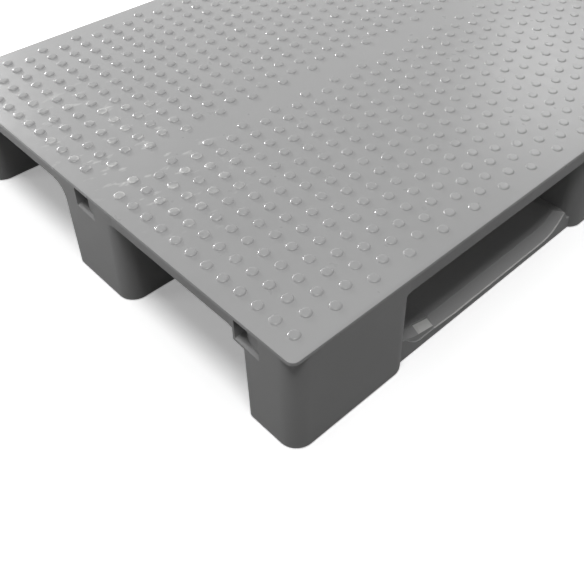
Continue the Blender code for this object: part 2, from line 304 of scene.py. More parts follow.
@dataclass(frozen=True)
class StudioFloor:
    """Pale matt studio board, exposed past white for the camera and kept dim to bounced light.

    Attributes:
        seen_colour: What the camera and reflections see.
        bounce_colour: What lights the object from below.
        gain: How far past its plain brightness the camera sees the board, as a white cut-out is exposed.
        glow: Light from below that the camera sees through the board, which thins its shadows.
    """

    seen_colour: str = "#fafafa"
    bounce_colour: str = "#505050"
    gain: float = 1.3
    glow: float = 0.275

    def build(self) -> bpy.types.Material:
        """Make the material.

        Returns:
            The floor material.
        """
        material = bpy.data.materials.new("studio_floor")
        tree = empty_tree(material)
        colours = {6: linear(self.bounce_colour), 7: linear(self.seen_colour)}
        colour = add_node(tree, "Mix", {"data_type": "RGBA"}, colours, {0: seen_directly(tree)}).outputs[2]
        camera = add_node(tree, "LightPath").outputs["Is Camera Ray"]
        exposure = add_node(
            tree, "MapRange", values={"To Min": 1.0, "To Max": self.gain}, links={"Value": camera}
        )
        exposed = add_node(tree, "VectorMath", {"operation": "SCALE"}, links={0: colour, "Scale": exposure})
        matt = add_node(tree, "BsdfDiffuse", links={"Color": exposed})
        through = add_node(tree, "MapRange", values={"To Max": self.glow}, links={"Value": camera})
        below = add_node(tree, "Emission", links={"Strength": through})
        both = add_node(tree, "AddShader", links={0: matt, 1: below})
        add_node(tree, "OutputMaterial", links={"Surface": both})
        return material


def seen_directly(tree: bpy.types.NodeTree) -> bpy.types.Node:
    """One for camera, glossy and transmission rays, zero for the rays that carry light.

    Args:
        tree: The node tree to add to.

    Returns:
        The switch.
    """
    path = add_node(tree, "LightPath").outputs
    seen = path["Is Camera Ray"]
    for ray in ("Is Glossy Ray", "Is Transmission Ray"):
        seen = add_node(tree, "Math", {"operation": "MAXIMUM"}, links={0: seen, 1: path[ray]})
    return seen


def merge_points(mesh: bpy.types.Mesh, reach: float = 1e-6) -> None:
    """Merge points that share a place, drop the faces that this leaves empty, and turn the rest outwards.

    Args:
        mesh: The mesh to change.
        reach: How close two points have to be.
    """
    body = bmesh.new()
    body.from_mesh(mesh)
    bmesh.ops.remove_doubles(body, verts=body.verts, dist=reach)
    bmesh.ops.dissolve_degenerate(body, edges=body.edges, dist=reach)
    bmesh.ops.recalc_face_normals(body, faces=body.faces)
    body.to_mesh(mesh)
    body.free()


def make_piece(
    name: str,
    points: np.ndarray,
    faces: Sequence[Sequence[int]],
    finish: bpy.types.Material,
    replaced: str,
    crease: float = 40.0,
    merged: bool = False,
) -> bpy.types.Object:
    """Turn arrays into a piece that rides on the pallet and stands for a node of the frame.

    Args:
        name: Object name.
        points: Vertex positions, one row each.
        faces: Vertex numbers of each face, anticlockwise from outside.
        finish: The piece's material.
        replaced: The node that it stands for.
        crease: Edges sharper than this many degrees stay sharp.
        merged: Whether points that share a place become one.

    Returns:
        The new object.
    """
    mesh = bpy.data.meshes.new(name)
    mesh.from_pydata(points.tolist(), [], [list(face) for face in faces])
    if merged:
        merge_points(mesh)
    mesh.validate()
    mesh.shade_smooth()
    mesh.set_sharp_from_angle(angle=radians(crease))
    mesh.materials.append(finish)
    piece = add_object(name, mesh)
    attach(piece, BODY)
    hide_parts(replaced)
    LOG.info("%s: %d faces", name, len(mesh.polygons))
    return piece


def loft_faces(rings: int, points: int) -> list[list[int]]:
    """Faces of a closed body whose rings are stacked one on the other.

    Args:
        rings: Number of rings.
        points: Points in each ring.

    Returns:
        Quads between neighbouring rings, and one face that closes each end.
    """
    row, column = np.meshgrid(np.arange(rings - 1), np.arange(points), indexing="ij")
    following = (column + 1) % points
    quads = np.stack(
        [
            row * points + column,
            row * points + following,
            (row + 1) * points + following,
            (row + 1) * points + column,
        ],
        axis=-1,
    ).reshape(-1, 4)
    last = (rings - 1) * points
    return [*quads.tolist(), list(range(points))[::-1], list(range(last, last + points))]


def corner_turn(steps: int) -> tuple[np.ndarray, np.ndarray]:
    """Normals round a rounded rectangle, and which corner each belongs to.

    Each quarter turn is a row of equal angles, so that a straight side joins the last point of one corner and
    the first of the next.

    Args:
        steps: Number of spans in each corner.

    Returns:
        Unit normals with one row each, and the sign of X and Y of each point's corner.
    """
    quarter, step = np.meshgrid(np.arange(4), np.arange(steps + 1), indexing="ij")
    angle = (quarter + step / steps).ravel() * pi / 2
    normals = np.stack([np.cos(angle), np.sin(angle)], axis=-1)
    signs = np.array([(1, 1), (-1, 1), (-1, -1), (1, -1)], float)[quarter.ravel()]
    return normals, signs


def rounded_rings(
    sides: np.ndarray, radius: np.ndarray, heights: np.ndarray, normals: np.ndarray, signs: np.ndarray
) -> np.ndarray:
    """Rings of a body whose every section is a rounded rectangle.

    A point is its corner's centre, which lies one radius inside both sides, plus the radius times its normal.

    Args:
        sides: Low X, high X, low Y and high Y of each ring.
        radius: Corner radius of each ring, or of each point of each ring.
        heights: Height of every point of every ring.
        normals: Unit normals round a ring.
        signs: The corner that each point belongs to.

    Returns:
        All points, ring after ring.
    """
    radius = radius.reshape(len(sides), -1, 1)
    low = sides[:, None, [0, 2]] + radius
    high = sides[:, None, [1, 3]] - radius
    centres = np.where(signs[None] > 0, high, low)
    plan = centres + normals[None] * radius
    return np.concatenate([plan, heights[:, :, None]], axis=-1).reshape(-1, 3)


@dataclass(frozen=True)
class Mould:
    """Sizes that all parts of the pallet share.

    Attributes:
        x0: Low X of the deck.
        x1: High X of the deck.
        y0: Low Y of the deck.
        y1: High Y of the deck.
        deck_top: Height of the flat deck between the studs.
        sheet: Thickness of the deck sheet.
        parting_step: Step from sheet to feet and from feet to skirt.
        end_skirt_depth: Depth of the skirt over the end openings, below the deck.
        side_skirt_depth: Depth of the skirt over the side openings.
        skirt_wall: Thickness of the skirt.
        rib_wall: Thickness of a rib.
        cell_limit: Widest cell between ribs.
        end_foot_length: Length of a corner foot.
        middle_foot_length: Length of a middle foot.
        side_foot_width: Width of a foot along the long sides.
        centre_foot_width: Width of a foot on the middle line.
        recess_side_inset: How far an end foot's side stands back below its recess.
        foot_wall: Wall thickness of a foot.
        shoe_height: Height of a runner inside a foot.
        runner_gap: Gap between a runner and its foot.
    """

    x0: float
    x1: float
    y0: float
    y1: float
    deck_top: float = 0.1583
    sheet: float = 0.005
    parting_step: float = 0.0003
    end_skirt_depth: float = 0.0203
    side_skirt_depth: float = 0.0243
    skirt_wall: float = 0.0045
    rib_wall: float = 0.003
    cell_limit: float = 0.110
    end_foot_length: float = 0.195
    middle_foot_length: float = 0.078
    side_foot_width: float = 0.096
    centre_foot_width: float = 0.142
    recess_side_inset: float = 0.0093
    foot_wall: float = 0.005
    shoe_height: float = 0.040
    runner_gap: float = 0.0003

    @property
    def sheet_bottom(self) -> float:
        """Height of the deck sheet's underside."""
        return self.deck_top - self.sheet

    @property
    def end_mouth(self) -> float:
        """Height of the openings at the short sides."""
        return self.deck_top - self.end_skirt_depth

    @property
    def side_mouth(self) -> float:
        """Height of the openings at the long sides."""
        return self.deck_top - self.side_skirt_depth

    @property
    def inside_sheet(self) -> float:
        """Height to which feet, skirts and ribs run on inside the sheet."""
        return self.sheet_bottom + self.sheet / 4

    def spans(self, low: float, high: float, outer: float, inner: float) -> list[tuple[float, float]]:
        """Both sides of the first, middle and last foot between two edges of the pallet.

        Args:
            low: One edge.
            high: The other edge.
            outer: Size of the first and last foot.
            inner: Size of the middle foot.

        Returns:
            Low and high side of each foot.
        """
        first, last, middle = low + self.parting_step, high - self.parting_step, (low + high) / 2
        return [(first, first + outer), (middle - inner / 2, middle + inner / 2), (last - outer, last)]

    @property
    def columns(self) -> dict[str, tuple[float, float]]:
        """Low and high X of the three columns of feet."""
        spans = self.spans(self.x0, self.x1, self.end_foot_length, self.middle_foot_length)
        return dict(zip(("left", "middle", "right"), spans))

    @property
    def lanes(self) -> dict[str, tuple[float, float]]:
        """Low and high Y of the three lanes of feet."""
        spans = self.spans(self.y0, self.y1, self.side_foot_width, self.centre_foot_width)
        return dict(zip(("front", "centre", "rear"), spans))

    def foot_sides(self, column: str, lane: str) -> tuple[float, float, float, float]:
        """Low X, high X, low Y and high Y of a foot.

        An end foot stands back on the side below its recess, unless that side is flush with the pallet.

        Args:
            column: Name of the foot's column.
            lane: Name of its lane.

        Returns:
            The four sides.
        """
        low_y, high_y = self.lanes[lane]
        if column == "left" and lane != "rear":
            high_y -= self.recess_side_inset
        if column == "right" and lane != "front":
            low_y += self.recess_side_inset
        return (*self.columns[column], low_y, high_y)

    def divided(self, low: float, high: float) -> np.ndarray:
        """Split a span into equal cells with a rib between neighbours.

        Args:
            low: Start of the span.
            high: End of the span.

        Returns:
            Low and high edge of each cell, one row each.
        """
        count = max(1, ceil((high - low + self.rib_wall) / (self.cell_limit + self.rib_wall)))
        pitch = (high - low + self.rib_wall) / count
        starts = low + np.arange(count) * pitch
        return np.stack([starts, starts + pitch - self.rib_wall], axis=-1)


@dataclass(frozen=True)
class DeckSheet:
    """The closed deck sheet with its rounded top edge.

    Attributes:
        mould: Shared sizes.
        corner_radius: Radius of the corners in plan.
        edge_radius: Radius of the top edge.
        corner_steps: Spans in each corner.
        edge_steps: Spans in the rounded edge.
    """

    mould: Mould
    corner_radius: float = 0.010
    edge_radius: float = 0.0006
    corner_steps: int = 10
    edge_steps: int = 4

    def build(self, finish: bpy.types.Material) -> bpy.types.Object:
        """Stack rounded rings: one below, then a quarter circle of insets up to the flat top.

        Args:
            finish: The deck's material.

        Returns:
            The deck sheet.
        """
        mould = self.mould
        turn = np.linspace(0.0, pi / 2, self.edge_steps + 1)
        inset = np.concatenate([[0.0], self.edge_radius * (1 - np.cos(turn))])
        rise = mould.deck_top - self.edge_radius * (1 - np.sin(turn))
        height = np.concatenate([[mould.sheet_bottom], rise])
        sides = np.stack([mould.x0 + inset, mould.x1 - inset, mould.y0 + inset, mould.y1 - inset], axis=-1)
        normals, signs = corner_turn(self.corner_steps)
        heights = np.repeat(height[:, None], len(normals), axis=1)
        points = rounded_rings(sides, self.corner_radius - inset, heights, normals, signs)
        faces = loft_faces(len(height), len(normals))
        return make_piece("deck_sheet", points, faces, finish, "deck")


@dataclass(frozen=True)
class StudField:
    """Low round studs in staggered rows, with a bare lane along the middle of the deck.

    Attributes:
        mould: Shared sizes.
        height: Stud height above the deck.
        radius: Radius at the foot of a stud.
        pitch: Distance between studs in a column and, nearly, between columns.
        margin: Distance from the deck's edges to the first studs.
        lane: Width between the studs nearest the middle line.
        segments: Sides of each stud.
        wear: Largest share of its height that a stud has lost.
        seed: Start of the random draws of that share.
        profile: From the foot of a stud up: share of the radius, share of the height, and how rubbed it is.
    """

    mould: Mould
    height: float = 0.0017
    radius: float = 0.0080
    pitch: float = 0.030
    margin: float = 0.030
    lane: float = 0.050
    segments: int = 12
    wear: float = 0.30
    seed: int = 7
    profile: tuple[tuple[float, float, float], ...] = (
        (1.0, -0.15, 0.0),
        (0.97, 0.15, 0.1),
        (0.90, 0.58, 0.8),
        (0.80, 0.88, 1.0),
        (0.68, 0.99, 0.5),
        (0.56, 1.0, 0.0),
    )

    def places(self) -> np.ndarray:
        """Stud centres in plan.

        Columns are evenly spread between the margins; every second one starts half a pitch further in. The
        other half of the deck is the mirror image.

        Returns:
            X and Y of each stud, one row each.
        """
        mould = self.mould
        span = mould.x1 - mould.x0 - 2 * self.margin
        columns = int(span / self.pitch + 0.001)
        half = (mould.y1 - mould.y0 - self.lane) / 2
        rows = int((half - self.margin) / self.pitch + 0.001) + 1
        column, row = np.meshgrid(np.arange(columns), np.arange(rows), indexing="ij")
        x = mould.x0 + self.margin + column * span / (columns - 1)
        offset = self.margin + row * self.pitch + np.where(column % 2 == 1, self.pitch / 2, 0.0)
        near = np.stack([x.ravel(), mould.y0 + offset.ravel()], axis=-1)
        far = np.stack([x.ravel(), mould.y1 - offset.ravel()], axis=-1)
        return np.concatenate([near, far])

    def build(self, finish: bpy.types.Material) -> bpy.types.Object:
        """Turn one profile about each stud's axis, all studs at once.

        The profile runs from just inside the sheet up a sloped flank and over a rounded rim to the flat top.

        Args:
            finish: The deck's material.

        Returns:
            All studs as one piece.
        """
        radii, levels, rim = np.array(self.profile).T * np.array([[self.radius], [self.height], [1.0]])
        angle = np.arange(self.segments) * 2 * pi / self.segments
        centres = self.places()
        wear_and_highlight = 1.0 - self.wear * np.random.default_rng(self.seed).random(len(centres)) ** 2
        shape = (len(centres), len(radii), self.segments)
        x = centres[:, 0, None, None] + radii[None, :, None] * np.cos(angle)[None, None, :]
        y = centres[:, 1, None, None] + radii[None, :, None] * np.sin(angle)[None, None, :]
        z = np.broadcast_to(self.mould.deck_top + levels[None, :, None] * wear_and_highlight[:, None, None], shape)
        points = np.stack([x, y, z], axis=-1).reshape(-1, 3)
        one = loft_faces(len(radii), self.segments)
        size = len(radii) * self.segments
        faces = [[index + stud * size for index in face] for stud in range(len(centres)) for face in one]
        studs = make_piece("deck_studs", points, faces, finish, "deck", crease=60.0)
        worn_rims = studs.data.attributes.new(WEAR_AND_HIGHLIGHT, "FLOAT", "POINT")
        worn_rims.data.foreach_set("value", np.tile(np.repeat(rim, self.segments), len(centres)))
        return studs


@dataclass(frozen=True)
class Skirt:
    """The narrow walls under the deck's edge between the feet.

    Attributes:
        mould: Shared sizes.
        edge_radius: Radius of the lower edges.
        edge_steps: Spans in each rounded edge.
        reach: How far a wall runs on inside the rounding of a foot that has no recess there.
    """

    mould: Mould
    edge_radius: float = 0.0010
    edge_steps: int = 3
    reach: float = 0.030

    def section(self, mouth: float) -> tuple[np.ndarray, np.ndarray]:
        """The wall's section: a strip whose two lower edges are quarter circles.

        Args:
            mouth: Height of the wall's lower edge.

        Returns:
            Depth behind the outer face and height of each point, anticlockwise with depth to the right.
        """
        radius, wall = self.edge_radius, self.mould.skirt_wall
        turn = np.linspace(0.0, pi / 2, self.edge_steps + 1)
        first = np.stack([radius * (1 - np.cos(turn)), mouth + radius * (1 - np.sin(turn))], axis=-1)
        second = np.stack([wall - radius * (1 - np.sin(turn)), mouth + radius * (1 - np.cos(turn))], axis=-1)
        top = self.mould.inside_sheet
        outline = np.concatenate([[(0.0, top)], first, second, [(wall, top)]])
        return outline[:, 0], outline[:, 1]

    def wall(
        self, name: str, start: Vector, end: Vector, mouth: float, finish: bpy.types.Material
    ) -> bpy.types.Object:
        """Carry the section along a straight line.

        Args:
            name: Object name.
            start: Plan position of the wall's start on its outer face.
            end: Plan position of its end, with the inside of the pallet to the left of the way there.
            mouth: Height of the wall's lower edge.
            finish: The deck's material.

        Returns:
            The wall.
        """
        depth, height = self.section(mouth)
        along = (end - start).normalized()
        inward = np.array([-along.y, along.x])
        ends = np.array([start, end])
        plan = ends[:, None, :] + depth[None, :, None] * inward[None, None, :]
        heights = np.repeat(height[None, :, None], 2, axis=0)
        points = np.concatenate([plan, heights], axis=-1).reshape(-1, 3)
        return make_piece(name, points, loft_faces(2, len(depth)), finish, "deck")

    def build(self, finish: bpy.types.Material) -> None:
        """Make the eight walls between the feet.

        At the ends of the pallet a wall starts level with the side of a foot where that foot has a recess.

        Args:
            finish: The deck's material.
        """
        mould = self.mould
        step = 2 * mould.parting_step
        front, rear, left, right = mould.y0 + step, mould.y1 - step, mould.x0 + step, mould.x1 - step
        walls = []
        for number, (near, far) in enumerate(pairwise(mould.columns.values()), 1):
            low, high = near[1] - self.reach, far[0] + self.reach
            walls.append((f"front_{number}", (low, front), (high, front), mould.side_mouth))
            walls.append((f"rear_{number}", (high, rear), (low, rear), mould.side_mouth))
        for number, (near, far) in enumerate(pairwise(mould.lanes.values()), 1):
            walls.append((f"left_{number}", (left, far[0] + self.reach), (left, near[1]), mould.end_mouth))
            walls.append((f"right_{number}", (right, near[1] - self.reach), (right, far[0]), mould.end_mouth))
        for name, start, end, mouth in walls:
            self.wall(f"skirt_{name}", Vector(start), Vector(end), mouth, finish)


@dataclass(frozen=True)
class Foot:
    """One hollow foot of the deck.

    Attributes:
        mould: Shared sizes.
        name: Where the foot stands.
        sides: Low X, high X, low Y and high Y.
        roots: Radius of the hollow round under the deck, for the low X, high X, low Y and high Y sides.
        corner_radius: Radius of the upright edges.
        crisp_radius: Radius of the edge beside an end foot's recess.
        draft: How far the sides towards the openings lean in at the ground.
        base_radius: Radius of the bottom edge.
        corner_steps: Spans in each corner.
        base_steps: Spans in the rounded bottom edge.
        root_steps: Spans in the hollow round.
    """

    mould: Mould
    name: str
    sides: tuple[float, float, float, float]
    roots: tuple[float, float, float, float] = (0.0, 0.0, 0.0, 0.0)
    corner_radius: float = 0.025
    crisp_radius: float = 0.009
    draft: float = 0.002
    base_radius: float = 0.0025
    corner_steps: int = 10
    base_steps: int = 6
    root_steps: int = 8

    @property
    def inner(self) -> np.ndarray:
        """One for each side that faces an opening, zero for one flush with the pallet."""
        mould = self.mould
        edge = np.array([mould.x0, mould.x1, mould.y0, mould.y1])
        return (np.abs(np.array(self.sides) - edge) > 2 * mould.parting_step).astype(float)

    def radii(self, signs: np.ndarray) -> np.ndarray:
        """Radius of the upright edge that each point belongs to.

        The crisp edge is the one at the end of the pallet that faces away from the first corner, as seen at
        low X, and its mirror image through the middle of the pallet at high X.

        Args:
            signs: The corner that each point belongs to.

        Returns:
            One radius for each point.
        """
        low_x, high_x, low_y, high_y = self.inner
        end = high_x - low_x
        faces_opening = high_y if end > 0 else low_y
        crisp = (signs == np.array([-1.0, 1.0]) * end).all(axis=1) & (faces_opening > 0)
        return np.where(crisp, self.crisp_radius, self.corner_radius)

    def level(
        self, normals: np.ndarray, signs: np.ndarray, at_x: np.ndarray, at_y: np.ndarray
    ) -> np.ndarray:
        """Blend heights round a ring from those at its X sides to those at its Y sides.

        The share of each is the square of the normal's part, which runs smoothly from nought to one round a
        corner. Beside a side that is flush with the pallet, the other side's height holds all the way.

        Args:
            normals: Unit normals.
            signs: The corner that each point belongs to.
            at_x: Heights at low X and high X.
            at_y: Heights at low Y and high Y.

        Returns:
            One height for each normal.
        """
        east, north = (signs > 0).astype(int).T
        open_x, open_y = self.inner[east], self.inner[2 + north]
        share = np.where(open_y == 0, 1.0, np.where(open_x == 0, 0.0, normals[:, 0] ** 2))
        return share * at_x[east] + (1 - share) * at_y[north]

    def build(self, finish: bpy.types.Material) -> bpy.types.Object:
        """Stack rings from a lid at shoe height down the inside, round the rim and up the outside.

        Outside, the sides lean out from the drafted base and end in a quarter circle that spreads under the
        deck, to its own radius on each side and up to the skirt's lower edge.

        Args:
            finish: The deck's material.

        Returns:
            The foot.
        """
        mould = self.mould
        normals, signs = corner_turn(self.corner_steps)
        outward = np.array([-1.0, 1.0, -1.0, 1.0])
        roots = np.array(self.roots) * self.inner
        base = -self.draft * self.inner
        hollow = base - mould.foot_wall
        turn = np.linspace(0.0, pi / 2, self.base_steps + 1)
        spread = np.linspace(0.0, pi / 2, self.root_steps + 1)
        rim = base - self.base_radius * (1 - np.sin(turn))[:, None]
        flare = roots * (1 - np.cos(spread))[:, None]
        growth = np.concatenate([[hollow, hollow], rim, flare, flare[-1:]])
        low = np.concatenate([[mould.shoe_height, 0.0], self.base_radius * (1 - np.cos(turn))])
        low_rings = np.repeat(low[:, None], len(normals), axis=1)
        drops = roots * (1 - np.sin(spread))[:, None]
        at_x, at_y = mould.side_mouth - drops[:, :2], mould.end_mouth - drops[:, 2:]
        flare_rings = np.array([self.level(normals, signs, x, y) for x, y in zip(at_x, at_y)])
        top_ring = np.full((1, len(normals)), mould.inside_sheet)
        heights = np.concatenate([low_rings, flare_rings, top_ring])
        radius = np.tile(self.radii(signs), (len(growth), 1))
        radius[:2] -= mould.foot_wall
        radius[2 : 2 + len(turn)] -= self.base_radius * (1 - np.sin(turn))[:, None]
        points = rounded_rings(np.array(self.sides) + growth * outward, radius, heights, normals, signs)
        faces = loft_faces(len(growth), len(normals))
        return make_piece(f"foot_{self.name}", points, faces, finish, "deck", crease=50.0)


@dataclass(frozen=True)
class Recess:
    """A scooped recess in a foot's end face, just under the deck sheet.

    Attributes:
        mould: Shared sizes.
        start: Distance of the shallow end from the foot's first side.
        length: Length along the face.
        depth: Depth at the deep end.
        shallow_depth: Depth at the shallow end.
        height: Height of the opening below the sheet.
        lip: Height of the sloped lower lip at the deep end.
        shallow_lip: Height of the lip at the shallow end.
        lip_run: How far the lip reaches in.
        lip_limit: Largest share of the depth that the lip takes up.
        wall: Thickness of the walls behind the recess.
        wall_setback: How far those walls stay behind the foot's face.
        scoop_power: How quickly the back curves away from the face.
        scoop_steps: Spans in that curve.
    """

    mould: Mould
    start: float
    length: float = 0.041
    depth: float = 0.016
    shallow_depth: float = 0.0030
    height: float = 0.0295
    lip: float = 0.0010
    shallow_lip: float = 0.0052
    lip_run: float = 0.0030
    lip_limit: float = 0.8
    wall: float = 0.0035
    wall_setback: float = 0.00015
    scoop_power: float = 2.0
    scoop_steps: int = 8

    def wedge(self, corner: Vector, turned: bool, wall: float, front: float) -> bpy.types.Object:
        """A body that joins sections, each a strip under the sheet with a slope along its lower edge.

        The depth grows as a power of the distance from the shallow end, and the lip shrinks evenly. The hole
        reaches further into the sheet than its walls do, so that no two of their faces share a plane.

        Args:
            corner: Plan position of the foot's first outer corner.
            turned: Whether the wedge is turned half a turn, for the far end of the pallet.
            wall: Thickness added all round, for the walls behind the recess.
            front: Where the wedge starts, measured outwards from the foot's face.

        Returns:
            The wedge as a construction body.
        """
        high = self.mould.inside_sheet if wall > 0 else self.mould.sheet_bottom + self.mould.sheet / 2
        low = self.mould.sheet_bottom - self.height - wall
        sections = []
        for share in np.linspace(0.0, 1.0, self.scoop_steps + 1):
            y = self.start - wall + share * (self.length + 2 * wall)
            depth = self.shallow_depth + (self.depth - self.shallow_depth) * share**self.scoop_power
            lip = self.shallow_lip + (self.lip - self.shallow_lip) * share
            run = min(self.lip_run, self.lip_limit * depth)
            outer = low - lip - lip / run * front
            profile = [(-front, high), (depth + wall, high), (depth + wall, low), (run, low)]
            sections.append([(x, y, z) for x, z in [*profile, (-front, outer)]])
        points = np.array(sections).reshape(-1, 3)
        points[:, :2] = np.array(corner) + (-1.0 if turned else 1.0) * points[:, :2]
        mesh = bpy.data.meshes.new("wedge")
        mesh.from_pydata(points.tolist(), [], loft_faces(self.scoop_steps + 1, 5))
        return add_object("wedge", mesh)

    def cut(self, foot: bpy.types.Object, corner: Vector, turned: bool) -> None:
        """Give a foot the walls of its recess, then take the recess out.

        Args:
            foot: The foot to change.
            corner: Plan position of the foot's first outer corner.
            turned: Whether the recess belongs to the far end of the pallet.
        """
        walls = self.wedge(corner, turned, self.wall, -self.wall_setback)
        hole = self.wedge(corner, turned, 0.0, self.lip_run)
        for body, operation in ((walls, "UNION"), (hole, "DIFFERENCE")):
            modifier = foot.modifiers.new(operation.lower(), "BOOLEAN")
            modifier.operation = operation
            modifier.object = body
        bpy.context.view_layer.update()
        evaluated = foot.evaluated_get(bpy.context.evaluated_depsgraph_get())
        finished = bpy.data.meshes.new_from_object(evaluated)
        foot.modifiers.clear()
        foot.data = finished
        foot.data.set_sharp_from_angle(angle=radians(18.0))
        for body in (walls, hole):
            bpy.data.objects.remove(body)


@dataclass(frozen=True)
class RibGrid:
    """The open cells and the ribs between them under the deck sheet.

    Attributes:
        mould: Shared sizes.
    """

    mould: Mould

    def stations(self, low: float, high: float) -> tuple[np.ndarray, np.ndarray]:
        """Grid lines across a patch, doubled at each cell edge so that the cell walls stand upright.

        Args:
            low: Start of the patch.
            high: End of the patch.

        Returns:
            The lines' places, and whether each belongs to a cell.
        """
        rib = self.mould.rib_wall
        cells = self.mould.divided(low + rib, high - rib)
        edges = np.stack([cells[:, 0], cells[:, 0], cells[:, 1], cells[:, 1]], axis=-1).ravel()
        inside = np.tile([False, True, True, False], len(cells))
        return np.concatenate([[low], edges, [high]]), np.concatenate([[False], inside, [False]])

    def patch(
        self, name: str, area: tuple[float, float, float, float], mouth: float, finish: bpy.types.Material
    ) -> bpy.types.Object:
        """One rectangular patch: a height map that is the sheet's underside in a cell and the mouth on a rib.

        Args:
            name: Object name.
            area: Low X, high X, low Y and high Y.
            mouth: Height of the ribs' lower edges.
            finish: The deck's material.

        Returns:
            The patch, closed by its sides and a lid inside the sheet.
        """
        x, in_x = self.stations(area[0], area[1])
        y, in_y = self.stations(area[2], area[3])
        grid_x, grid_y = np.meshgrid(x, y, indexing="ij")
        ceiling = self.mould.sheet_bottom - self.mould.parting_step
        z = np.where(in_x[:, None] & in_y[None, :], ceiling, mouth)
        points = np.stack([grid_x, grid_y, z], axis=-1).reshape(-1, 3)
        row, column = np.meshgrid(np.arange(len(x) - 1), np.arange(len(y) - 1), indexing="ij")
        first = (row * len(y) + column).ravel()
        quads = np.stack([first, first + 1, first + len(y) + 1, first + len(y)], axis=-1)
        lid = [(x[i], y[j], self.mould.inside_sheet) for i, j in ((0, 0), (-1, 0), (-1, -1), (0, -1))]
        count = len(points)
        numbers = np.arange(count).reshape(len(x), len(y))
        a, b, c, d = range(count, count + 4)
        walls = [
            [*numbers[::-1, 0].tolist()[::-1], b, a],
            [*numbers[-1, :].tolist(), c, b],
            [*numbers[::-1, -1].tolist(), d, c],
            [*numbers[0, ::-1].tolist(), a, d],
        ]
        points = np.concatenate([points, np.array(lid)])
        faces = [*quads.tolist(), *walls, [a, b, c, d]]
        return make_piece(name, points, faces, finish, "deck", crease=30.0, merged=True)

    def build(self, finish: bpy.types.Material) -> None:
        """Make the two fields between the lanes, and the bays between the feet of each lane.

        Args:
            finish: The deck's material.
        """
        mould = self.mould
        inset = 2 * mould.parting_step + mould.skirt_wall / 2
        for number, (near, far) in enumerate(pairwise(mould.lanes.values()), 1):
            area = (mould.x0 + inset, mould.x1 - inset, near[1], far[0])
            self.patch(f"ribs_field_{number}", area, mould.end_mouth, finish)
        for name, lane in mould.lanes.items():
            low = max(lane[0], mould.y0 + inset)
            high = min(lane[1], mould.y1 - inset)
            for number, (near, far) in enumerate(pairwise(mould.columns.values()), 1):
                area = (near[1], far[0], low, high)
                self.patch(f"ribs_{name}_{number}", area, mould.side_mouth, finish)


@dataclass(frozen=True)
class BarStation:
    """Heights of a bar's section, from its outer face inwards, at some distance from a foot.

    Attributes:
        outer_distance: Distance of the lip from the foot.
        inner_distance: Distance of the shoulder and the top, which may lie further along.
        lip: Height of the upright outer face.
        edge: Height a little way up the ramp.
        shoulder: Height at the head of the ramp.
        top: Height of the flat top.
    """

    outer_distance: float
    inner_distance: float
    lip: float
    edge: float
    shoulder: float
    top: float


